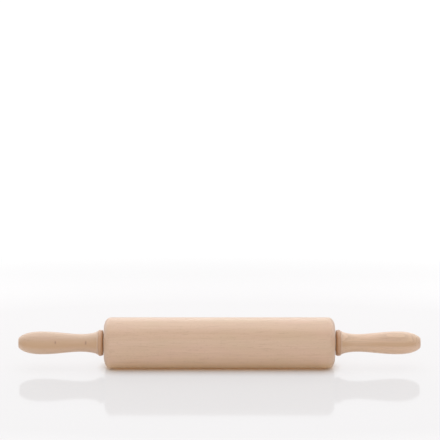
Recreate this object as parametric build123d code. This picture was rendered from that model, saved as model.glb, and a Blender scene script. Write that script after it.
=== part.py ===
from build123d import *
import math
import os

# A rolling pin of turned beech, whose barrel turns on two ball bearings between two handles.
# X runs along the pin and +Z is up. The origin is on the surface that the barrel rests on, below its
# middle. Sizes are in millimetres. "Outboard" is towards the nearer handle's tip.

# Barrel: one piece of beech, with slightly domed ends and a well rounded rim, deeper than it is wide.
barrel_length = 250.0
barrel_diameter = 55.0
barrel_rim_width = 6.7
barrel_rim_depth = 10.0
barrel_end_crown = 1.3
axle_bore_clearance = 1.5

# Ball bearings, one in a seat at each end of the barrel. Shares are of the section from bore to rim.
bearing_bore = 8.0
bearing_outer_diameter = 22.0
bearing_width = 7.0
bearing_inset = 2.5
ball_share = 0.567
ball_count = 7
groove_to_ball_share = 0.52
ring_wall_share = 0.293
ring_chamfer = 0.35
shield_seat_share = 0.2
shield_thickness = 0.3
shield_inset = 0.15
shield_gap = 0.15
cage_wall_share = 0.257
cage_end_gap = 0.35
cage_front_share = 0.5
seat_ledge_share = 0.343
seat_relief_depth = 2.0
seat_lead = 0.6

# Axle: a steel rod with a shoulder and a thread at each end.
axle_end_float = 0.1
axle_thread_diameter = 6.0
axle_thread_pitch = 1.0
axle_thread_depth_share = 0.55
axle_thread_reach = 13.0
axle_chamfer = 0.5

# Washers and thin nuts on the threads.
washer_diameter = 12.0
washer_clearance = 0.2
washer_thickness = 1.6
nut_across_flats = 10.0
nut_thickness = 3.2
nut_chamfer_share = 0.94

# Brass inserts in the handles.
insert_diameter = 12.0
insert_length = 15.0
insert_rib_count = 5
insert_rib_depth = 0.5
insert_rib_share = 0.5

# Handles: turned beech. Distances run outboard from the barrel's end.
handle_reach = 91.5
collar_gap = 0.4
collar_width = 5.0
collar_diameter = 28.2
collar_face_diameter = 26.4
collar_back_diameter = 27.2
collar_crest_share = 0.56
groove_width = 0.5
groove_diameter = 24.6
lip_diameter = 25.9
neck_distance = 23.8
neck_diameter = 19.1
crest_distance = 66.0
grip_diameter = 24.6
tip_diameter = 11.4
tip_edge = 0.5
nut_recess_clearance = 0.6
blind_hole_spare = 3.0
drill_point_angle = 118.0

# Turned curves: where each one's two control points lie, as shares of its length and its rise.
rim_shares = ((0.05, 0.55), (0.45, 1.0))
cove_shares = ((0.128, 0.57), (0.536, 1.0))
swell_shares = ((0.31, 0.0), (0.64, 1.0))
nose_shares = ((0.53, 0.0), (0.83, 0.365))

# Clearances, each on the radius.
seat_clearance = 0.02
ball_clearance = 0.05
pocket_clearance = 0.1
thread_clearance = 0.05

# Sizes that follow from those above.
barrel_radius = barrel_diameter / 2
barrel_end = barrel_length / 2
bearing_outboard = barrel_end - bearing_inset
bearing_middle = bearing_outboard - bearing_width / 2
bearing_inboard = bearing_outboard - bearing_width
bearing_section = (bearing_outer_diameter - bearing_bore) / 2
pitch_radius = (bearing_bore + bearing_outer_diameter) / 4
ball_diameter = ball_share * min(bearing_section, bearing_width)
ball_radius = ball_diameter / 2
groove_radius = groove_to_ball_share * ball_diameter
inner_shoulder_radius = bearing_bore / 2 + ring_wall_share * bearing_section
outer_shoulder_radius = bearing_outer_diameter / 2 - ring_wall_share * bearing_section
shield_seat_radius = bearing_outer_diameter / 2 - shield_seat_share * bearing_section
axle_radius = bearing_bore / 2
thread_bore_radius = axle_thread_diameter / 2 + thread_clearance
axle_shoulder = bearing_outboard + axle_end_float
washer_outboard = axle_shoulder + washer_thickness
nut_outboard = washer_outboard + nut_thickness
insert_outboard = nut_outboard + insert_length
collar_face = barrel_end + collar_gap


def turned(outline):
    """A solid turned about the pin's axis from a closed outline of (distance along it, radius)."""
    return revolve(Plane.XZ * make_face(outline), Axis.X)


def between(start, end, shares):
    """The point whose place and radius lie at two shares of the way from start to end."""
    return (
        start[0] + shares[0] * (end[0] - start[0]),
        start[1] + shares[1] * (end[1] - start[1]),
    )


def turned_curve(start, end, control_shares):
    """A smooth stretch of a turned outline, from start to end."""
    controls = [between(start, end, shares) for shares in control_shares]
    return Bezier(start, *controls, end)


def ring_outline(inboard, outboard, inner_radius, outer_radius):
    """The section of a plain ring."""
    return Polyline(
        (inboard, inner_radius),
        (outboard, inner_radius),
        (outboard, outer_radius),
        (inboard, outer_radius),
        close=True,
    )


def barrel_end_at(radius):
    """The domed end's distance from the barrel's middle, at a radius."""
    dome_radius = (barrel_radius**2 + barrel_end_crown**2) / (2 * barrel_end_crown)
    return barrel_end - dome_radius + math.sqrt(dome_radius**2 - radius**2)


def barrel_bore_outline():
    """One end of the bore, from the middle outboard: axle bore, relief, bearing seat and lead."""
    bore_radius = axle_radius + axle_bore_clearance
    seat_radius = bearing_outer_diameter / 2 + seat_clearance
    relief_radius = bearing_outer_diameter / 2 - seat_ledge_share * bearing_section
    mouth_radius = seat_radius + seat_lead
    mouth = barrel_end_at(mouth_radius)
    return [
        (bearing_inboard - seat_relief_depth, bore_radius),
        (bearing_inboard - seat_relief_depth, relief_radius),
        (bearing_inboard, relief_radius),
        (bearing_inboard, seat_radius),
        (mouth - seat_lead, seat_radius),
        (mouth, mouth_radius),
    ]


def make_barrel():
    """The barrel, with the bore and both bearing seats in one turned outline."""
    right_bore = barrel_bore_outline()
    left_bore = [(-along, radius) for along, radius in reversed(right_bore)]
    mouth, mouth_radius = right_bore[-1]
    rim_radius = barrel_radius - barrel_rim_depth
    middle_radius = (mouth_radius + rim_radius) / 2
    rim_start = (barrel_end_at(rim_radius), rim_radius)
    rim_end = (barrel_end_at(barrel_radius) - barrel_rim_width, barrel_radius)
    right_end = ThreePointArc(
        (mouth, mouth_radius),
        (barrel_end_at(middle_radius), middle_radius),
        rim_start,
    ) + turned_curve(rim_start, rim_end, rim_shares)
    bore = Polyline(*left_bore, *right_bore)
    side = Line(rim_end, (-rim_end[0], barrel_radius))
    return turned(bore + right_end + side + mirror(right_end, Plane.YZ))


def make_outer_ring():
    """The bearing's outer ring, with its ball groove and a recess for each shield."""
    outer_radius = bearing_outer_diameter / 2
    seat_depth = shield_inset + shield_thickness
    ring = turned(
        Polyline(
            (bearing_inboard, shield_seat_radius),
            (bearing_inboard + seat_depth, shield_seat_radius),
            (bearing_inboard + seat_depth, outer_shoulder_radius),
            (bearing_outboard - seat_depth, outer_shoulder_radius),
            (bearing_outboard - seat_depth, shield_seat_radius),
            (bearing_outboard, shield_seat_radius),
            (bearing_outboard, outer_radius - ring_chamfer),
            (bearing_outboard - ring_chamfer, outer_radius),
            (bearing_inboard + ring_chamfer, outer_radius),
            (bearing_inboard, outer_radius - ring_chamfer),
            close=True,
        )
    )
    return ring - ball_groove(pitch_radius + ball_radius + ball_clearance - groove_radius)


def make_inner_ring():
    """The bearing's inner ring, on the axle."""
    bore_radius = axle_radius + seat_clearance
    ring = turned(
        Polyline(
            (bearing_inboard, bore_radius + ring_chamfer),
            (bearing_inboard + ring_chamfer, bore_radius),
            (bearing_outboard - ring_chamfer, bore_radius),
            (bearing_outboard, bore_radius + ring_chamfer),
            (bearing_outboard, inner_shoulder_radius),
            (bearing_inboard, inner_shoulder_radius),
            close=True,
        )
    )
    return ring - ball_groove(pitch_radius - ball_radius - ball_clearance + groove_radius)


def ball_groove(centre_radius):
    """The round groove that the balls run in, as a ring to cut away."""
    section = Pos(bearing_middle, centre_radius) * Circle(groove_radius)
    return revolve(Plane.XZ * section, Axis.X)


def ball_places(count):
    """Places round the pin's axis, on the balls' pitch circle."""
    turn = 360 / count
    return [Rot(X=turn * step) * Pos(bearing_middle, 0, pitch_radius) for step in range(count)]


def make_balls():
    """The seven balls, as separate solids."""
    return Compound(children=[place * Sphere(ball_radius) for place in ball_places(ball_count)])


def make_cage():
    """The crown cage: a ring behind the balls, with a pocket for each."""
    half_wall = cage_wall_share * bearing_section / 2
    cage = turned(
        ring_outline(
            bearing_inboard + shield_inset + shield_thickness + cage_end_gap,
            bearing_middle + cage_front_share * ball_radius,
            pitch_radius - half_wall,
            pitch_radius + half_wall,
        )
    )
    for place in ball_places(ball_count):
        cage -= place * Sphere(ball_radius + pocket_clearance)
    return cage


def make_shield(outboard_face):
    """A thin steel shield, set in the outer ring and clear of the inner one."""
    return turned(
        ring_outline(
            outboard_face - shield_thickness,
            outboard_face,
            inner_shoulder_radius + shield_gap,
            shield_seat_radius - seat_clearance,
        )
    )


def thread_outline(root, tip):
    """A threaded end's outline from its root to its tip, with each turn of thread as a ring."""
    crest_radius = axle_thread_diameter / 2
    root_radius = crest_radius - axle_thread_depth_share * axle_thread_pitch
    turns = int((tip - root) / axle_thread_pitch)
    first = tip - turns * axle_thread_pitch
    points = [(root, root_radius)]
    for turn in range(turns):
        start = first + turn * axle_thread_pitch
        points.append((start, root_radius))
        points.append((start + axle_thread_pitch / 2, crest_radius))
    points.append((tip, root_radius))
    return points


def make_axle():
    """The axle: a rod with a shoulder and a thread at each end."""
    tip = nut_outboard + axle_thread_reach
    right = [
        (axle_shoulder - axle_chamfer, axle_radius),
        (axle_shoulder, axle_radius - axle_chamfer),
        *thread_outline(axle_shoulder, tip),
        (tip, 0),
    ]
    left = [(-along, radius) for along, radius in reversed(right)]
    return turned(Polyline(*left, *right, close=True))


def make_washer():
    """The washer that keeps the bearing on the axle."""
    hole_radius = axle_thread_diameter / 2 + washer_clearance
    return turned(ring_outline(axle_shoulder, washer_outboard, hole_radius, washer_diameter / 2))


def make_nut():
    """The thin nut, its corners turned down at both faces."""
    corner_radius = nut_across_flats / math.sqrt(3)
    face_radius = nut_chamfer_share * corner_radius
    corner_drop = (corner_radius - face_radius) / math.sqrt(3)
    hexagon = Plane.YZ * RegularPolygon(corner_radius, 6)
    prism = Pos(X=washer_outboard) * extrude(hexagon, nut_thickness)
    blank = turned(
        Polyline(
            (washer_outboard, thread_bore_radius),
            (nut_outboard, thread_bore_radius),
            (nut_outboard, face_radius),
            (nut_outboard - corner_drop, corner_radius),
            (washer_outboard + corner_drop, corner_radius),
            (washer_outboard, face_radius),
            close=True,
        )
    )
    return prism & blank


def make_insert():
    """The brass insert, with ribs that grip the wood and a plain bore for its thread."""
    rib_radius = insert_diameter / 2
    root_radius = rib_radius - insert_rib_depth
    rib_pitch = insert_length / insert_rib_count
    rib_width = rib_pitch * insert_rib_share
    ribs = []
    for rib in range(insert_rib_count):
        start = nut_outboard + rib * rib_pitch
        ribs.append((start, rib_radius))
        ribs.append((start + rib_width, rib_radius))
        ribs.append((start + rib_width, root_radius))
        ribs.append((start + rib_pitch, root_radius))
    return turned(
        Polyline(
            *ribs,
            (insert_outboard, thread_bore_radius),
            (nut_outboard, thread_bore_radius),
            close=True,
        )
    )


def handle_hole_outline():
    """The hole in the handle, from the drill's point back to the collar's face."""
    insert_radius = insert_diameter / 2 + seat_clearance
    recess_radius = max(nut_across_flats / math.sqrt(3), insert_radius) + nut_recess_clearance
    hole_end = insert_outboard + blind_hole_spare
    point_length = insert_radius / math.tan(math.radians(drill_point_angle / 2))
    return [
        (hole_end + point_length, 0),
        (hole_end, insert_radius),
        (nut_outboard, insert_radius),
        (nut_outboard, recess_radius),
        (collar_face, recess_radius),
    ]


def make_handle():
    """The handle: collar, groove, hollow neck, swelling grip and flat tip in one outline."""
    collar_back = collar_face + collar_width
    tip = barrel_end + handle_reach
    face_point = (collar_face, collar_face_diameter / 2)
    collar_point = (collar_face + collar_crest_share * collar_width, collar_diameter / 2)
    back_point = (collar_back, collar_back_diameter / 2)
    lip_point = (collar_back + groove_width, lip_diameter / 2)
    neck_point = (barrel_end + neck_distance, neck_diameter / 2)
    crest_point = (barrel_end + crest_distance, grip_diameter / 2)
    nose_point = (tip - tip_edge, tip_diameter / 2)
    groove = Polyline(
        back_point,
        (back_point[0], groove_diameter / 2),
        (lip_point[0], groove_diameter / 2),
        lip_point,
    )
    end_and_hole = Polyline(
        nose_point,
        (tip, tip_diameter / 2 - tip_edge),
        (tip, 0),
        *handle_hole_outline(),
        face_point,
    )
    return turned(
        ThreePointArc(face_point, collar_point, back_point)
        + groove
        + turned_curve(lip_point, neck_point, cove_shares)
        + turned_curve(neck_point, crest_point, swell_shares)
        + turned_curve(crest_point, nose_point, nose_shares)
        + end_and_hole
    )


def end_pieces():
    """The pieces at the right end, by name. The left end has the same ones, turned half round."""
    return {
        "bearing_outer_ring": make_outer_ring(),
        "bearing_inner_ring": make_inner_ring(),
        "bearing_balls": make_balls(),
        "bearing_cage": make_cage(),
        "bearing_inboard_shield": make_shield(bearing_inboard + shield_inset + shield_thickness),
        "bearing_outboard_shield": make_shield(bearing_outboard - shield_inset),
        "axle_washer": make_washer(),
        "axle_nut": make_nut(),
        "handle_insert": make_insert(),
        "handle": make_handle(),
    }


def assemble():
    """Every piece by its node's name, about the X axis."""
    pieces = {"barrel": make_barrel(), "axle": make_axle()}
    for name, piece in end_pieces().items():
        pieces[f"right_{name}"] = piece
        pieces[f"left_{name}"] = Rot(Z=180) * piece
    return pieces


os.makedirs("parts", exist_ok=True)
for name, piece in assemble().items():
    export_step(Pos(Z=barrel_radius) * piece, f"parts/{name}.step")
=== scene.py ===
import math

import bmesh
import bpy
from mathutils import Euler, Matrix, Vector, geometry


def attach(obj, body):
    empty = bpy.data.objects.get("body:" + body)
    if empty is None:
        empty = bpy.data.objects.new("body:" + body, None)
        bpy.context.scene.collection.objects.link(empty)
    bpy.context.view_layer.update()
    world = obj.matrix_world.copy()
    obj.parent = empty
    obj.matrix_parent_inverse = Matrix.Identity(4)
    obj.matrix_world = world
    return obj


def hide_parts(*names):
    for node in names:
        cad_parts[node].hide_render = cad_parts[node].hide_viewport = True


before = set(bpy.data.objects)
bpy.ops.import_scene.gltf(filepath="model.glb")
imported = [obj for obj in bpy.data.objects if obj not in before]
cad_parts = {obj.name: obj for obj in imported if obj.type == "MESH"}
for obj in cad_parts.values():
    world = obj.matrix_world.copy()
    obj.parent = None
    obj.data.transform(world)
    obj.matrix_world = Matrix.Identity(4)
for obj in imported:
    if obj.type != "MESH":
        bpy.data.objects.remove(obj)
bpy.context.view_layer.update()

# The barrel is one piece of beech, turned between centres and sanded, with slightly domed ends
# and well rounded rims. It is bored through for the axle, and a wider seat in each end takes a
# ball bearing.
axis_height = 0.0275
barrel_radius = 0.0275
barrel_end = 0.125
end_crown = 0.0013
middle_of_face = 0.0145
rim_width = 0.0067
rim_depth = 0.0100
rim_shares = ((0.05, 0.55), (0.45, 1.0))
rim_steps = 18
axle_bore_radius = 0.0055
relief_radius = 0.0086
relief_inboard = 0.1135
bearing_inboard = 0.1155
seat_radius = 0.01102
seat_lead = 0.0006
edge_softening = 0.0002
fine_softening = 0.0001
softening_steps = 3
spin_steps = 128
merge_distance = 1e-7
sharp_edge_angle = math.radians(40)


def turned_mesh(name, corners):
    """A piece turned about the pin's axis from corners of (distance along, radius, softening)."""
    shape = bmesh.new()
    points = [shape.verts.new((along, 0, radius)) for along, radius, soft in corners]
    for first, second in zip(points, points[1:] + points[:1]):
        shape.edges.new((first, second))
    for softening in sorted({soft for along, radius, soft in corners if soft}):
        bmesh.ops.bevel(
            shape,
            geom=[point for point, corner in zip(points, corners) if corner[2] == softening],
            offset=softening,
            offset_type="OFFSET",
            affect="VERTICES",
            segments=softening_steps,
            profile=0.5,
            material=-1,
        )
    bmesh.ops.spin(
        shape,
        geom=shape.verts[:] + shape.edges[:],
        cent=(0, 0, 0),
        axis=(1, 0, 0),
        angle=math.tau,
        steps=spin_steps,
        use_merge=True,
    )
    bmesh.ops.remove_doubles(shape, verts=shape.verts, dist=merge_distance)
    bmesh.ops.recalc_face_normals(shape, faces=shape.faces)
    bmesh.ops.translate(shape, verts=shape.verts, vec=(0, 0, axis_height))
    mesh = bpy.data.meshes.new(name)
    shape.to_mesh(mesh)
    shape.free()
    mesh.shade_smooth()
    mesh.set_sharp_from_angle(angle=sharp_edge_angle)
    piece = bpy.data.objects.new(name, mesh)
    bpy.context.scene.collection.objects.link(piece)
    return piece


def mirrored(corners):
    """The same outline for the other end of the pin."""
    return [(-along, radius, soft) for along, radius, soft in reversed(corners)]


def between(start, end, shares):
    """The point that lies at two shares of the way from start to end."""
    along_share, out_share = shares
    along = start[0] + along_share * (end[0] - start[0])
    return Vector((along, start[1] + out_share * (end[1] - start[1])))


def sweep(start, end, first_shares, second_shares, steps):
    """Corners along a smooth curve from start to end, without its start."""
    controls = [between(start, end, shares) for shares in (first_shares, second_shares)]
    points = geometry.interpolate_bezier(Vector(start), *controls, Vector(end), steps)
    return [(point[0], point[1], 0) for point in points[1:]]


def dome_at(radius):
    """How far out the domed end stands at a radius."""
    dome_radius = (barrel_radius**2 + end_crown**2) / (2 * end_crown)
    return barrel_end - dome_radius + math.sqrt(dome_radius**2 - radius**2)


mouth_radius = seat_radius + seat_lead
rim_start = (dome_at(barrel_radius - rim_depth), barrel_radius - rim_depth)
rim_end = (dome_at(barrel_radius) - rim_width, barrel_radius)
right_end = [
    (relief_inboard, axle_bore_radius, 0),
    (relief_inboard, relief_radius, 0),
    (bearing_inboard, relief_radius, edge_softening),
    (bearing_inboard, seat_radius, 0),
    (dome_at(mouth_radius) - seat_lead, seat_radius, fine_softening),
    (dome_at(mouth_radius), mouth_radius, edge_softening),
    (dome_at(middle_of_face), middle_of_face, 0),
    (*rim_start, 0),
    *sweep(rim_start, rim_end, *rim_shares, rim_steps),
]
barrel = turned_mesh("turned_barrel", right_end + mirrored(right_end))


def shader_node(material, kind, inputs=None, **settings):
    """A node of a material, with its inputs set or linked."""
    node = material.node_tree.nodes.new(kind)
    for name, value in settings.items():
        setattr(node, name, value)
    for name, value in (inputs or {}).items():
        if isinstance(value, bpy.types.NodeSocket):
            material.node_tree.links.new(value, node.inputs[name])
        else:
            node.inputs[name].default_value = value
    return node


def math_node(material, operation, first, second=0.0, third=0.0):
    """The result of one sum on numbers or sockets."""
    inputs = {0: first, 1: second, 2: third}
    return shader_node(material, "ShaderNodeMath", inputs, operation=operation).outputs[0]


def share_of(material, value, low, high, at_low=0.0, at_high=1.0):
    """A value's place between two levels, kept within them."""
    levels = {"From Min": low, "From Max": high, "To Min": at_low, "To Max": at_high}
    node = shader_node(material, "ShaderNodeMapRange", {"Value": value, **levels})
    return node.outputs["Result"]


def axes_of(material, vector):
    """The three lengths of a position, by axis."""
    return shader_node(material, "ShaderNodeSeparateXYZ", {0: vector}).outputs


def position(material, x, y, z=0.0):
    """A position put together from its three lengths."""
    return shader_node(material, "ShaderNodeCombineXYZ", {0: x, 1: y, 2: z}).outputs[0]


def scaled(material, vector, scale):
    """A position with its three lengths scaled."""
    return shader_node(material, "ShaderNodeMapping", {"Vector": vector, "Scale": scale}).outputs[0]


def length(material, vector):
    """The length of a position or an offset."""
    node = shader_node(material, "ShaderNodeVectorMath", {0: vector}, operation="LENGTH")
    return node.outputs["Value"]


def off_axis(material, vector):
    """How far a position lies from the line along its first axis."""
    return length(material, scaled(material, vector, (0, 1, 1)))


def noise(material, vector, grains, detail=2.0, roughness=0.5):
    """Smooth noise about a half, with so many grains to a unit along each axis."""
    grid = scaled(material, vector, grains)
    inputs = {"Vector": grid, "Scale": 1.0, "Detail": detail, "Roughness": roughness}
    return shader_node(material, "ShaderNodeTexNoise", inputs).outputs["Fac"]


def mixed(material, share, first, second, blend="MIX"):
    """A share of the second colour over the first. The node keeps its colours in sockets 6 and 7."""
    inputs = {0: share, 6: first, 7: second}
    node = shader_node(material, "ShaderNodeMix", inputs, data_type="RGBA", blend_type=blend)
    return node.outputs[2]


def colour(red, green, blue):
    """A colour from its screen values, from 0 to 255, as Blender's linear colour."""
    def linear(value):
        share = value / 255
        return share / 12.92 if share < 0.04045 else ((share + 0.055) / 1.055) ** 2.4

    return (linear(red), linear(green), linear(blue), 1.0)


def new_material(name):
    """A material with a principled shader, and that shader."""
    material = bpy.data.materials.new(name)
    material.use_nodes = True
    return material, material.node_tree.nodes["Principled BSDF"]


relief_strength = 0.35


def dress(material, shader, tone, roughness, height, depth):
    """Gives a shader its colour, its roughness and a fine relief of some depth in metres."""
    inputs = {"Height": height, "Strength": relief_strength, "Distance": depth}
    relief = shader_node(material, "ShaderNodeBump", inputs).outputs[0]
    links = material.node_tree.links
    links.new(tone, shader.inputs["Base Color"])
    links.new(roughness, shader.inputs["Roughness"])
    links.new(relief, shader.inputs["Normal"])


# The wood's pattern is laid out in millimetres from its pith, the middle of the trunk. Its grains
# are counted per millimetre along the trunk and across it.
mm_per_metre = 1000
in_mm = (mm_per_metre, mm_per_metre, mm_per_metre)
waver_grains = (0.007, 0.035, 0.035)
uneven_grains = (0.0, 0.11, 0.11)
streak_grains = (0.010, 0.45, 0.45)
fibre_grains = (0.035, 1.7, 1.7)
cloud_grains = (0.024, 0.06, 0.06)
vessel_grains = (0.07, 0.8, 0.8)
ray_grains = (0.28, 1.15, 0.075)
lathe_lines_per_metre = (2600, 30, 30)
ring_waver = 9.0
uneven_rings = 3.0
ray_rows = 60.0
painted_shade_waver = 2.0
wood_relief = 0.00002


def growth_rings(material, trunk, waver, ring_width):
    """The darker late wood at the end of each ring, with rings that waver and differ in width."""
    wavy_depth = math_node(material, "MULTIPLY_ADD", waver, ring_waver, off_axis(material, trunk))
    uneven = noise(material, trunk, uneven_grains, detail=1.0)
    depth = math_node(material, "MULTIPLY_ADD", uneven, uneven_rings * ring_width, wavy_depth)
    ring = math_node(material, "FRACT", math_node(material, "DIVIDE", depth, ring_width))
    late_growth = share_of(material, ring, 0.25, 0.93)
    late_end = share_of(material, ring, 1.0, 0.93)
    return math_node(material, "MULTIPLY", late_growth, late_end)


def ray_flecks(material, trunk):
    """The short dark flecks of the rays, which stand in rows about the pith."""
    axes = axes_of(material, trunk)
    angle = math_node(material, "ARCTAN2", axes["Z"], axes["Y"])
    around = math_node(material, "MULTIPLY", angle, ray_rows)
    ray_place = position(material, axes["X"], around, off_axis(material, trunk))
    inputs = {"Vector": scaled(material, ray_place, ray_grains), "Scale": 1.0, "Randomness": 0.95}
    cells = shader_node(material, "ShaderNodeTexVoronoi", inputs).outputs
    fleck = share_of(material, cells["Distance"], 0.42, 0.2)
    pick = shader_node(material, "ShaderNodeSeparateColor", {0: cells["Color"]}).outputs["Red"]
    return math_node(material, "MULTIPLY", fleck, share_of(material, pick, 0.3, 0.9))


def beech(name, pith, lean, ring_width, tones, figure, painted_shade):
    """The colours of beech cut from one place in the trunk, with painted shade near a given line,
    and what the later steps need of it.
    """
    material, shader = new_material(name)
    turn = Euler(lean)
    place = shader_node(material, "ShaderNodeTexCoord").outputs
    to_trunk = {
        "Vector": place["Object"],
        "Location": -(turn.to_matrix() @ Vector(pith)),
        "Rotation": turn,
        "Scale": in_mm,
    }
    trunk = shader_node(material, "ShaderNodeMapping", to_trunk).outputs[0]
    waver = noise(material, trunk, waver_grains, detail=3.0)
    latewood = growth_rings(material, trunk, waver, ring_width)
    rays = ray_flecks(material, trunk)
    streaks = noise(material, trunk, streak_grains, detail=3.0)
    fibres = noise(material, trunk, fibre_grains, detail=4.0, roughness=0.65)
    clouds = noise(material, trunk, cloud_grains, detail=2.0)
    vessels = noise(material, trunk, vessel_grains, detail=1.0)

    tone = mixed(material, share_of(material, streaks, 0.3, 0.7), tones["pale"], tones["streak"])
    tone = mixed(material, share_of(material, clouds, 0.52, 0.68, 0.0, 0.6), tone, tones["pink"])
    tone = mixed(material, share_of(material, clouds, 0.48, 0.32, 0.0, 0.6), tone, tones["straw"])
    tone = mixed(material, math_node(material, "MULTIPLY", latewood, figure), tone, tones["late"])
    tone = mixed(material, share_of(material, fibres, 0.45, 0.75, 0.0, 0.3), tone, tones["late"])
    tone = mixed(material, share_of(material, vessels, 0.6, 0.74, 0.0, 0.4), tone, tones["ray"])
    tone = mixed(material, math_node(material, "MULTIPLY", rays, 0.26), tone, tones["ray"])

    # Painted shade: the wood turns darker and more golden near a line along the pin in front of it,
    # low at the barrel's foot where it rests on the worktop, and at mid height along the front of
    # each handle.
    to_painted_shade = {
        "Vector": place["Object"],
        "Location": (0, -painted_shade["across"] * mm_per_metre, -painted_shade["up"] * mm_per_metre),
        "Scale": (0, mm_per_metre, mm_per_metre),
    }
    from_painted_shade = length(material, shader_node(material, "ShaderNodeMapping", to_painted_shade).outputs[0])
    painted_shade_reach = math_node(material, "MULTIPLY_ADD", waver, painted_shade_waver, from_painted_shade)
    painted_shade_share = share_of(
        material, painted_shade_reach, painted_shade["outside"], painted_shade["inside"], 0.0, painted_shade["share"]
    )
    tone = mixed(material, painted_shade_share, tone, tones["painted_shade"])

    facing = axes_of(material, place["Normal"])["X"]
    end_grain = share_of(material, math_node(material, "ABSOLUTE", facing), 0.6, 1.0, 0.0, 0.6)
    tone = mixed(material, end_grain, tone, tones["end"])
    return {
        "material": material,
        "shader": shader,
        "place": place["Object"],
        "fibres": fibres,
        "rays": rays,
        "tone": tone,
    }


def sanded(wood):
    """The finished material of a piece of beech, with fine lathe lines and a soft wide sheen."""
    material, shader = wood["material"], wood["shader"]
    fibres, rays = wood["fibres"], wood["rays"]
    lathe_lines = noise(material, wood["place"], lathe_lines_per_metre, detail=1.0)
    height = math_node(material, "MULTIPLY_ADD", lathe_lines, 0.35, fibres)
    height = math_node(material, "MULTIPLY_ADD", rays, -0.3, height)
    roughness = share_of(material, fibres, 0.3, 0.7, 0.48, 0.4)
    roughness = math_node(material, "MULTIPLY_ADD", rays, -0.05, roughness)
    dress(material, shader, wood["tone"], roughness, height, wood_relief)
    shader.inputs["IOR"].default_value = 1.5
    shader.inputs["Specular IOR Level"].default_value = 1.0
    shader.inputs["Coat Weight"].default_value = 1.0
    shader.inputs["Coat IOR"].default_value = 1.9
    shader.inputs["Coat Roughness"].default_value = 0.55
    return material


barrel_tones = {
    "pale": colour(205, 166, 132),
    "streak": colour(200, 159, 123),
    "pink": colour(206, 163, 133),
    "straw": colour(198, 162, 123),
    "late": colour(185, 144, 108),
    "ray": colour(169, 126, 90),
    "painted_shade": colour(202, 157, 102),
    "end": colour(185, 145, 112),
}
barrel_painted_shade = {"across": -0.008, "up": -0.002, "inside": 12.0, "outside": 24.0, "share": 1.0}
barrel_wood = beech(
    "barrel_beech",
    pith=(0, 38, -30),
    lean=(0.0, 0.012, 0.01),
    ring_width=3.4,
    tones=barrel_tones,
    figure=0.2,
    painted_shade=barrel_painted_shade,
)
barrel.data.materials.append(sanded(barrel_wood))
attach(barrel, "barrel")
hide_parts("barrel")


# A deep-groove ball bearing is pressed into each end of the barrel. Its outer and inner rings are
# ground from hard bearing steel, seven polished balls run between them in a moulded nylon cage, and
# a thin pressed shield closes each side.
def finish(names, material):
    """Gives pieces that come from the CAD model their material."""
    for name in names:
        for material_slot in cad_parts[name].material_slots:
            material_slot.material = material


def both_sides(piece):
    """The names of a piece's left and right copies."""
    return [f"left_{piece}", f"right_{piece}"]


def pin_place(material):
    """A position in millimetres from the middle of the pin's axis."""
    to_middle = {
        "Vector": shader_node(material, "ShaderNodeTexCoord").outputs["Object"],
        "Location": (0, 0, -mm_per_metre * axis_height),
        "Scale": in_mm,
    }
    return shader_node(material, "ShaderNodeMapping", to_middle).outputs[0]


def turned_lines(material, place, per_mm):
    """Fine lines that run round the axis, as a grinding wheel or a lathe tool leaves them."""
    across = position(material, axes_of(material, place)["X"], off_axis(material, place))
    return noise(material, across, (per_mm, per_mm, 1), detail=2.0, roughness=0.6)


def new_metal(name):
    """A bare metal with a principled shader, and that shader."""
    material, shader = new_material(name)
    shader.inputs["Metallic"].default_value = 1.0
    return material, shader


ground_steel = colour(182, 182, 183)
oiled_steel = colour(152, 144, 126)
scored_steel = colour(132, 132, 134)
grinding_per_mm = 12
oil_grains = (0.3, 0.3, 0.3)
grinding_relief = 0.000012
ring_steel, ring_shader = new_metal("ground_bearing_steel")
on_ring = pin_place(ring_steel)
grinding = turned_lines(ring_steel, on_ring, grinding_per_mm)
oil_film = noise(ring_steel, on_ring, oil_grains, detail=3.0)
oiled = share_of(ring_steel, oil_film, 0.46, 0.66)
oil_share = math_node(ring_steel, "MULTIPLY", oiled, 0.45)
ring_tone = mixed(ring_steel, oil_share, ground_steel, oiled_steel)
scoring = share_of(ring_steel, grinding, 0.5, 0.8, 0.0, 0.3)
ring_tone = mixed(ring_steel, scoring, ring_tone, scored_steel)
ring_roughness = share_of(ring_steel, grinding, 0.3, 0.7, 0.24, 0.36)
ring_roughness = math_node(ring_steel, "MULTIPLY_ADD", oiled, -0.08, ring_roughness)
dress(ring_steel, ring_shader, ring_tone, ring_roughness, grinding, grinding_relief)
finish(both_sides("bearing_outer_ring") + both_sides("bearing_inner_ring"), ring_steel)

polished_steel = colour(214, 215, 218)
smeared_steel = colour(184, 180, 168)
smear_grains = (0.9, 0.9, 0.9)
scratch_grains = (2.0, 9.0, 9.0)
polished_relief = 0.000003
ball_steel, ball_shader = new_metal("polished_ball_steel")
on_ball = pin_place(ball_steel)
smears = noise(ball_steel, on_ball, smear_grains, detail=4.0)
fine_scratches = noise(ball_steel, on_ball, scratch_grains, detail=3.0)
smear_share = share_of(ball_steel, smears, 0.42, 0.68, 0.0, 0.5)
ball_tone = mixed(ball_steel, smear_share, polished_steel, smeared_steel)
ball_roughness = share_of(ball_steel, smears, 0.35, 0.68, 0.05, 0.16)
dress(ball_steel, ball_shader, ball_tone, ball_roughness, fine_scratches, polished_relief)
finish(both_sides("bearing_balls"), ball_steel)

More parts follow.
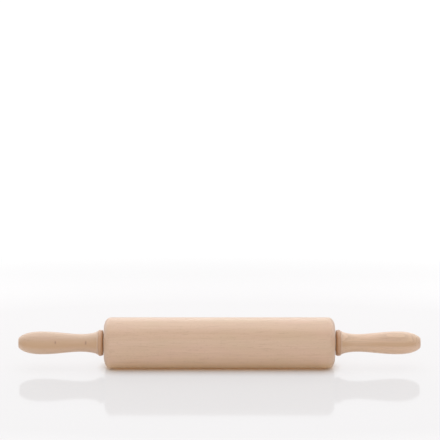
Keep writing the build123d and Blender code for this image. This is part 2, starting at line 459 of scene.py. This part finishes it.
fresh_nylon = colour(228, 221, 201)
flowed_nylon = colour(214, 203, 174)
speckled_nylon = colour(196, 184, 152)
flow_grains = (0.8, 0.35, 0.35)
mould_grains = (7.0, 7.0, 7.0)
mould_relief = 0.00002
cage_nylon, nylon_shader = new_material("moulded_natural_nylon")
on_cage = pin_place(cage_nylon)
melt_flow = noise(cage_nylon, on_cage, flow_grains, detail=3.0)
mould_skin = noise(cage_nylon, on_cage, mould_grains, detail=2.0)
flow_share = share_of(cage_nylon, melt_flow, 0.35, 0.65)
nylon_tone = mixed(cage_nylon, flow_share, fresh_nylon, flowed_nylon)
speckle = share_of(cage_nylon, mould_skin, 0.6, 0.8, 0.0, 0.3)
nylon_tone = mixed(cage_nylon, speckle, nylon_tone, speckled_nylon)
nylon_roughness = share_of(cage_nylon, mould_skin, 0.3, 0.7, 0.4, 0.56)
dress(cage_nylon, nylon_shader, nylon_tone, nylon_roughness, mould_skin, mould_relief)
nylon_shader.inputs["IOR"].default_value = 1.53
finish(both_sides("bearing_cage"), cage_nylon)

rolled_steel = colour(186, 186, 184)
dull_rolled_steel = colour(158, 158, 156)
worn_steel = colour(206, 206, 205)
rolling_grains = (4.0, 0.5, 9.0)
pressing_per_mm = 5
worn_from = 9.4
worn_to = 10.3
pressed_relief = 0.000014
shield_steel, shield_shader = new_metal("pressed_shield_steel")
on_shield = pin_place(shield_steel)
rolled = noise(shield_steel, on_shield, rolling_grains, detail=3.0, roughness=0.6)
pressing = turned_lines(shield_steel, on_shield, pressing_per_mm)
rim_wear = share_of(shield_steel, off_axis(shield_steel, on_shield), worn_from, worn_to)
rolled_share = share_of(shield_steel, rolled, 0.35, 0.7)
shield_tone = mixed(shield_steel, rolled_share, rolled_steel, dull_rolled_steel)
wear_share = math_node(shield_steel, "MULTIPLY", rim_wear, 0.6)
shield_tone = mixed(shield_steel, wear_share, shield_tone, worn_steel)
shield_roughness = share_of(shield_steel, rolled, 0.3, 0.7, 0.34, 0.48)
shield_roughness = math_node(shield_steel, "MULTIPLY_ADD", rim_wear, -0.1, shield_roughness)
shield_height = math_node(shield_steel, "MULTIPLY_ADD", pressing, 0.6, rolled)
dress(shield_steel, shield_shader, shield_tone, shield_roughness, shield_height, pressed_relief)
finish(both_sides("bearing_inboard_shield") + both_sides("bearing_outboard_shield"), shield_steel)


# The axle is one bright drawn steel rod that goes right through the barrel and both bearings. Each
# end is turned down to a shoulder and threaded. Drawing leaves fine scratches along the rod, and
# the thread's roots stay dark.
drawn_steel = colour(174, 174, 172)
scratched_steel = colour(138, 136, 132)
stained_steel = colour(132, 116, 94)
root_dirt = colour(84, 79, 72)
drawing_grains = (0.05, 4.0, 4.0)
stain_grains = (0.09, 0.2, 0.2)
shoulder_from = 122.4
shoulder_to = 122.8
thread_crest_radius = 2.9
thread_root_radius = 2.5
drawn_relief = 0.00002
axle_steel, axle_shader = new_metal("drawn_axle_steel")
on_axle = pin_place(axle_steel)
drawing = noise(axle_steel, on_axle, drawing_grains, detail=4.0, roughness=0.65)
stains = noise(axle_steel, on_axle, stain_grains, detail=4.0, roughness=0.6)
scratch_share = share_of(axle_steel, drawing, 0.4, 0.75, 0.0, 0.6)
axle_tone = mixed(axle_steel, scratch_share, drawn_steel, scratched_steel)
stain_share = share_of(axle_steel, stains, 0.52, 0.72, 0.0, 0.5)
axle_tone = mixed(axle_steel, stain_share, axle_tone, stained_steel)
out_along_axle = math_node(axle_steel, "ABSOLUTE", axes_of(axle_steel, on_axle)["X"])
past_shoulder = share_of(axle_steel, out_along_axle, shoulder_from, shoulder_to)
in_root = share_of(
    axle_steel, off_axis(axle_steel, on_axle), thread_crest_radius, thread_root_radius, 0.0, 0.75
)
thread_root = math_node(axle_steel, "MULTIPLY", past_shoulder, in_root)
axle_tone = mixed(axle_steel, thread_root, axle_tone, root_dirt)
axle_roughness = share_of(axle_steel, drawing, 0.3, 0.7, 0.24, 0.4)
axle_roughness = math_node(axle_steel, "MULTIPLY_ADD", thread_root, 0.2, axle_roughness)
dress(axle_steel, axle_shader, axle_tone, axle_roughness, drawing, drawn_relief)
finish(["axle"], axle_steel)


# A washer and a thin lock nut clamp each inner ring against the axle's shoulder. Both are stamped
# or cut from mild steel and plated with bright zinc, which has a faint blue and yellow bloom.
blue_zinc = colour(180, 187, 196)
yellow_zinc = colour(194, 190, 170)
dull_zinc = colour(150, 153, 158)
bloom_grains = (0.5, 0.22, 0.22)
plating_grains = (5.0, 5.0, 5.0)
face_lines_per_mm = 6
plated_relief = 0.000012
zinc_plate, zinc_shader = new_metal("bright_zinc_plate")
on_zinc = pin_place(zinc_plate)
bloom = noise(zinc_plate, on_zinc, bloom_grains, detail=2.0)
plating = noise(zinc_plate, on_zinc, plating_grains, detail=3.0, roughness=0.6)
face_lines = turned_lines(zinc_plate, on_zinc, face_lines_per_mm)
bloom_share = share_of(zinc_plate, bloom, 0.4, 0.62)
zinc_tone = mixed(zinc_plate, bloom_share, blue_zinc, yellow_zinc)
dull_patches = share_of(zinc_plate, plating, 0.55, 0.8, 0.0, 0.4)
zinc_tone = mixed(zinc_plate, dull_patches, zinc_tone, dull_zinc)
zinc_roughness = share_of(zinc_plate, plating, 0.3, 0.7, 0.24, 0.38)
zinc_height = math_node(zinc_plate, "MULTIPLY_ADD", face_lines, 0.5, plating)
dress(zinc_plate, zinc_shader, zinc_tone, zinc_roughness, zinc_height, plated_relief)
finish(both_sides("axle_washer") + both_sides("axle_nut"), zinc_plate)


# A turned brass insert with ribs along its outside is pressed into each handle, and the handle
# screws onto the axle's end with it. The ribs' crests are rubbed bright and their valleys tarnished.
bright_brass = colour(216, 176, 98)
tooled_brass = colour(196, 150, 72)
tarnished_brass = colour(148, 104, 54)
brass_dirt = colour(112, 78, 42)
tooling_per_mm = 7
tarnish_grains = (0.35, 0.35, 0.35)
rib_crest_radius = 5.9
rib_root_radius = 5.55
outside_from = 4.4
outside_to = 4.8
bore_dirt_to = 3.6
bore_dirt_from = 3.1
tooled_relief = 0.00002
insert_brass, brass_shader = new_metal("turned_brass")
on_insert = pin_place(insert_brass)
insert_radius = off_axis(insert_brass, on_insert)
tool_lines = turned_lines(insert_brass, on_insert, tooling_per_mm)
tarnish = noise(insert_brass, on_insert, tarnish_grains, detail=4.0)
rib_valley = share_of(insert_brass, insert_radius, rib_crest_radius, rib_root_radius, 0.0, 0.55)
outside = share_of(insert_brass, insert_radius, outside_from, outside_to)
in_valley = math_node(insert_brass, "MULTIPLY", rib_valley, outside)
in_bore = share_of(insert_brass, insert_radius, bore_dirt_to, bore_dirt_from, 0.0, 0.4)
tooled_share = share_of(insert_brass, tool_lines, 0.35, 0.7)
brass_tone = mixed(insert_brass, tooled_share, bright_brass, tooled_brass)
tarnish_share = share_of(insert_brass, tarnish, 0.5, 0.7, 0.0, 0.55)
brass_tone = mixed(insert_brass, tarnish_share, brass_tone, tarnished_brass)
dirt_share = math_node(insert_brass, "ADD", in_valley, in_bore)
brass_tone = mixed(insert_brass, dirt_share, brass_tone, brass_dirt)
brass_roughness = share_of(insert_brass, tool_lines, 0.3, 0.7, 0.14, 0.26)
brass_roughness = math_node(insert_brass, "MULTIPLY_ADD", tarnish, 0.25, brass_roughness)
dress(insert_brass, brass_shader, brass_tone, brass_roughness, tool_lines, tooled_relief)
finish(both_sides("handle_insert"), insert_brass)


# The handles are turned from beech too, each in one piece: a rounded collar that stands almost
# against the barrel, a fine cut groove, a hollow neck, a swelling grip and a small flat tip. A
# blind hole in the collar's face takes the nut and the threaded insert.
collar_face = (0.1254, 0.0132)
collar_crest = (0.1282, 0.0141)
collar_back = (0.1304, 0.0136)
collar_steps = 10
groove_radius = 0.0123
lip = (0.1309, 0.01295)
lip_softening = 0.00012
neck = (0.1488, 0.00955)
neck_shares = ((0.128, 0.57), (0.536, 1.0))
neck_steps = 16
crest = (0.1910, 0.0123)
grip_shares = ((0.31, 0.0), (0.64, 1.0))
grip_steps = 24
nose = (0.2160, 0.0057)
nose_shares = ((0.53, 0.0), (0.83, 0.365))
nose_steps = 22
tip = 0.2165
tip_radius = 0.0052
recess_end = 0.1274
recess_radius = 0.00662
hole_end = 0.1454
hole_radius = 0.00602
drill_point = 0.1490


def arc(start, middle, end, steps):
    """Corners along the round arc through three points, with its start and end."""
    (x1, y1), (x2, y2), (x3, y3) = start, middle, end
    spread = 2 * (x1 * (y2 - y3) + x2 * (y3 - y1) + x3 * (y1 - y2))
    squares = [x1**2 + y1**2, x2**2 + y2**2, x3**2 + y3**2]
    centre_x = (squares[0] * (y2 - y3) + squares[1] * (y3 - y1) + squares[2] * (y1 - y2)) / spread
    centre_y = (squares[0] * (x3 - x2) + squares[1] * (x1 - x3) + squares[2] * (x2 - x1)) / spread
    radius = math.hypot(x1 - centre_x, y1 - centre_y)
    first = math.atan2(y1 - centre_y, x1 - centre_x)
    last = math.atan2(y3 - centre_y, x3 - centre_x)
    turns = [first + (last - first) * step / steps for step in range(steps + 1)]
    return [
        (centre_x + radius * math.cos(turn), centre_y + radius * math.sin(turn), 0)
        for turn in turns
    ]


handle_outline = [
    (drill_point, 0.0, 0),
    (hole_end, hole_radius, 0),
    (recess_end, hole_radius, fine_softening),
    (recess_end, recess_radius, 0),
    (collar_face[0], recess_radius, edge_softening),
    *arc(collar_face, collar_crest, collar_back, collar_steps),
    (collar_back[0], groove_radius, 0),
    (lip[0], groove_radius, 0),
    (*lip, lip_softening),
    *sweep(lip, neck, *neck_shares, neck_steps),
    *sweep(neck, crest, *grip_shares, grip_steps),
    *sweep(crest, nose, *nose_shares, nose_steps),
    (tip, tip_radius, edge_softening),
    (tip, 0.0, 0),
]
handle_tones = {
    "pale": colour(200, 162, 130),
    "streak": colour(194, 155, 119),
    "pink": colour(201, 159, 131),
    "straw": colour(194, 157, 120),
    "late": colour(178, 137, 100),
    "ray": colour(163, 120, 84),
    "painted_shade": colour(186, 139, 88),
    "end": colour(187, 147, 116),
}
right_handle_tones = {
    **handle_tones,
    "pale": colour(212, 172, 137),
    "streak": colour(207, 165, 127),
    "pink": colour(213, 169, 139),
    "straw": colour(206, 168, 128),
}
left_painted_shade = {"across": -0.0115, "up": 0.0296, "inside": 3.5, "outside": 8.0, "share": 0.9}
right_painted_shade = {"across": -0.0115, "up": 0.0303, "inside": 2.5, "outside": 5.5, "share": 0.9}
handle_woods = {
    "left": {
        "pith": (-170, 30, -22),
        "lean": (0.0, 0.02, -0.015),
        "ring_width": 2.8,
        "tones": handle_tones,
        "figure": 0.2,
        "painted_shade": left_painted_shade,
    },
    "right": {
        "pith": (170, 31.5, -18.8),
        "lean": (0.0, -0.012, 0.03),
        "ring_width": 1.6,
        "tones": right_handle_tones,
        "figure": 0.6,
        "painted_shade": right_painted_shade,
    },
}

# The groove and the collar beside the barrel are darkened with painted shade, and the lip's edge has
# a painted pale highlight.
# The left handle has two small brown flecks, given by their middles and half lengths.
painted_collar_shade = {"left": colour(181, 124, 64), "right": colour(168, 104, 16)}
painted_lip_highlight = colour(222, 190, 162)
groove_shade_full = 0.1298
collar_shade_full = 0.1256
lip_highlight_from = (0.1308, 0.1311)
lip_highlight_to = (0.1314, 0.1322)
fleck_brown = colour(138, 80, 10)
fleck_raggedness = 1.2
flecks = {
    "left": [
        ((-0.1764, -0.0107, 0.0320), (0.0012, 0.0024, 0.0023)),
        ((-0.1438, -0.0090, 0.0311), (0.0013, 0.0026, 0.0030)),
    ],
    "right": [],
}


def with_painted_collar_shade(wood, painted_shade_tone):
    """The wood's tone with painted shade in its groove and on its collar by the barrel, and a
    painted highlight on its lip.
    """
    material = wood["material"]
    out_along = math_node(material, "ABSOLUTE", axes_of(material, wood["place"])["X"])
    # Painted shade in the groove and on the collar's side next to the barrel, and a painted
    # highlight on the lip.
    groove_shade_share = share_of(material, out_along, lip[0], groove_shade_full, 0.0, 0.72)
    collar_side_shade = share_of(material, out_along, collar_crest[0], collar_shade_full, 0.0, 0.2)
    groove_and_collar_shade = math_node(material, "ADD", groove_shade_share, collar_side_shade)
    tone = mixed(material, groove_and_collar_shade, wood["tone"], painted_shade_tone)
    past_groove = share_of(material, out_along, *lip_highlight_from)
    before_neck = share_of(material, out_along, *reversed(lip_highlight_to), 0.0, 0.6)
    lip_highlight_share = math_node(material, "MULTIPLY", past_groove, before_neck)
    return mixed(material, lip_highlight_share, tone, painted_lip_highlight)


def with_fleck(wood, middle, size):
    """The wood's tone with one ragged brown fleck."""
    material = wood["material"]
    inputs = {0: wood["place"], 1: middle}
    offset = shader_node(material, "ShaderNodeVectorMath", inputs, operation="SUBTRACT").outputs[0]
    per_size = (1 / size[0], 1 / size[1], 1 / size[2])
    reach = length(material, scaled(material, offset, per_size))
    ragged = math_node(material, "MULTIPLY_ADD", wood["fibres"], fleck_raggedness, reach)
    in_fleck = share_of(material, ragged, 1.6, 0.9, 0.0, 0.8)
    return mixed(material, in_fleck, wood["tone"], fleck_brown)


for side, cut in handle_woods.items():
    outline = handle_outline if side == "right" else mirrored(handle_outline)
    handle = turned_mesh(f"{side}_turned_handle", outline)
    wood = beech(f"{side}_handle_beech", **cut)
    wood["tone"] = with_painted_collar_shade(wood, painted_collar_shade[side])
    for middle, size in flecks[side]:
        wood["tone"] = with_fleck(wood, middle, size)
    handle.data.materials.append(sanded(wood))
    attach(handle, "handles")
    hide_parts(f"{side}_handle")


# The pin lies on a glossy white worktop that runs back into a white backdrop. The worktop keeps the
# pin's shadow and a faint reflection. In the narrow gap under the barrel it has a painted warm tint
# and a painted warm glow, as of light thrown back from the wood. Away from the pin it fades to white
# by its own light, with none added on the wood.
worktop_reach = 30
contact_half_length = 0.117
contact_squeeze = 1.8
contact_dark = 0.009
contact_light = 0.028
gap_half_length = 0.109
warm_reach = (0.005, 0.016)
glow_reach = (0.006, 0.014)
fade_from = 0.19
fade_to = 0.38
fade_shape = (0.4, 1, 0)
plain_white = (1.0, 1.0, 1.0, 1.0)
near_white = (1.0, 0.982, 0.99, 1.0)
painted_wood_bounce = (1.0, 0.78, 0.48, 1.0)
painted_wood_glow = (1.0, 0.57, 0.27, 1.0)


def from_line(material, axes, half_length, squeeze=1.0):
    """How far a point lies from a line under the pin, with what is past its ends squeezed."""
    out_along = math_node(material, "ABSOLUTE", axes["X"])
    past_end = math_node(material, "SUBTRACT", out_along, half_length)
    past_end = math_node(material, "MAXIMUM", past_end, 0.0)
    past_end = math_node(material, "MULTIPLY", past_end, squeeze)
    return length(material, position(material, past_end, axes["Y"]))


worktop_mesh = bpy.data.meshes.new("worktop")
worktop_shape = bmesh.new()
bmesh.ops.create_grid(worktop_shape, x_segments=1, y_segments=1, size=worktop_reach)
worktop_shape.to_mesh(worktop_mesh)
worktop_shape.free()
worktop = bpy.data.objects.new("worktop", worktop_mesh)
bpy.context.scene.collection.objects.link(worktop)
white_top, gloss = new_material("white_worktop")
gloss.inputs["Roughness"].default_value = 0.08
gloss.inputs["IOR"].default_value = 1.5
gloss.inputs["Specular IOR Level"].default_value = 0.042
ground = shader_node(white_top, "ShaderNodeTexCoord").outputs["Object"]
ground_axes = axes_of(white_top, ground)
from_contact = from_line(white_top, ground_axes, contact_half_length, contact_squeeze)
from_gap = from_line(white_top, ground_axes, gap_half_length)
from_pin = length(white_top, scaled(white_top, ground, fade_shape))
near_share = share_of(white_top, from_contact, contact_dark, contact_light)
far_share = share_of(white_top, from_pin, fade_from, fade_to)
camera_ray = shader_node(white_top, "ShaderNodeLightPath").outputs["Is Camera Ray"]
white_share = math_node(white_top, "MULTIPLY", far_share, 0.15)
white_share = math_node(white_top, "MULTIPLY_ADD", near_share, 0.85, white_share)
white_share = math_node(white_top, "MULTIPLY", white_share, camera_ray)
lit_share = math_node(white_top, "MULTIPLY_ADD", white_share, -0.9, 0.9)
lit_channels = {0: lit_share, 1: lit_share, 2: lit_share}
lit_white = shader_node(white_top, "ShaderNodeCombineColor", lit_channels).outputs[0]
# Painted bounce light: a warm tint and a warm glow on the worktop in the gap under the barrel.
painted_warm_share = share_of(white_top, from_gap, *reversed(warm_reach))
painted_warm_white = mixed(white_top, painted_warm_share, lit_white, painted_wood_bounce, blend="MULTIPLY")
painted_glow_share = share_of(white_top, from_gap, *reversed(glow_reach))
glow_tone = mixed(white_top, far_share, near_white, plain_white)
glow_tone = mixed(white_top, painted_glow_share, glow_tone, painted_wood_glow)
own_light = share_of(white_top, far_share, 0.0, 1.0, 0.768, 1.0)
own_light = math_node(white_top, "MULTIPLY", white_share, own_light)
glow = math_node(white_top, "MULTIPLY_ADD", painted_glow_share, 0.1, own_light)
white_top.node_tree.links.new(painted_warm_white, gloss.inputs["Base Color"])
white_top.node_tree.links.new(glow_tone, gloss.inputs["Emission Color"])
white_top.node_tree.links.new(glow, gloss.inputs["Emission Strength"])
worktop_mesh.materials.append(white_top)

# Wide softboxes hang in an arc over the pin. The tall low one in front lights its face evenly, and
# the ones above and behind it gleam along the top of the wood. The last and brightest stands low
# behind the worktop and shows in it, so the pin stands out there as a soft grey reflection.
room_light = 0.68
white_room = (1, 1, 1, 1)
studio = bpy.data.worlds.new("white_studio")
bpy.context.scene.world = studio
studio.use_nodes = True
seen = shader_node(studio, "ShaderNodeLightPath").outputs["Is Camera Ray"]
level = share_of(studio, seen, 0.0, 1.0, room_light, 1.0)
background = studio.node_tree.nodes["Background"]
studio.node_tree.links.new(level, background.inputs["Strength"])
background.inputs["Color"].default_value = white_room
lamp_distance = 2.0


def softbox(name, elevation, brightness, width=3.6, height=0.5):
    """A lamp that faces the pin from an elevation in front, where 1 is as bright as white paper."""
    rise = math.radians(elevation)
    lamp = bpy.data.lights.new(name, "AREA")
    lamp.shape = "RECTANGLE"
    lamp.size = width
    lamp.size_y = height
    lamp.energy = brightness * math.pi * width * height
    box = bpy.data.objects.new(name, lamp)
    box.location = (0, -lamp_distance * math.cos(rise), lamp_distance * math.sin(rise))
    box.rotation_euler = (-box.location).to_track_quat("-Z", "Y").to_euler()
    box.visible_camera = False
    bpy.context.scene.collection.objects.link(box)


softbox("front_softbox", 16, 0.53, height=2.2)
softbox("high_rear_softbox", 104, 1.04, height=1.5)
softbox("rear_softbox", 135, 0.45, width=12.0)
softbox("low_rear_softbox", 155, 2.35, width=12.0)

# The camera stands well back with a long lens, straight in front of the pin and a little above it.
# It aims above the pin, which lies low in its square picture.
view_distance = 3.5
view_elevation = math.radians(21.6)
view_across = 0.00057
aim_above_pin = math.radians(2.168)
lens = bpy.data.cameras.new("camera")
lens.sensor_width = 36
lens.lens = 265.5
lens.clip_end = 100
camera = bpy.data.objects.new("camera", lens)
camera.location = (
    view_across,
    -view_distance * math.cos(view_elevation),
    axis_height + view_distance * math.sin(view_elevation),
)
camera.rotation_euler = (math.pi / 2 - view_elevation + aim_above_pin, 0, 0)
bpy.context.scene.collection.objects.link(camera)
bpy.context.scene.camera = camera
bpy.context.scene.view_settings.view_transform = "Standard"
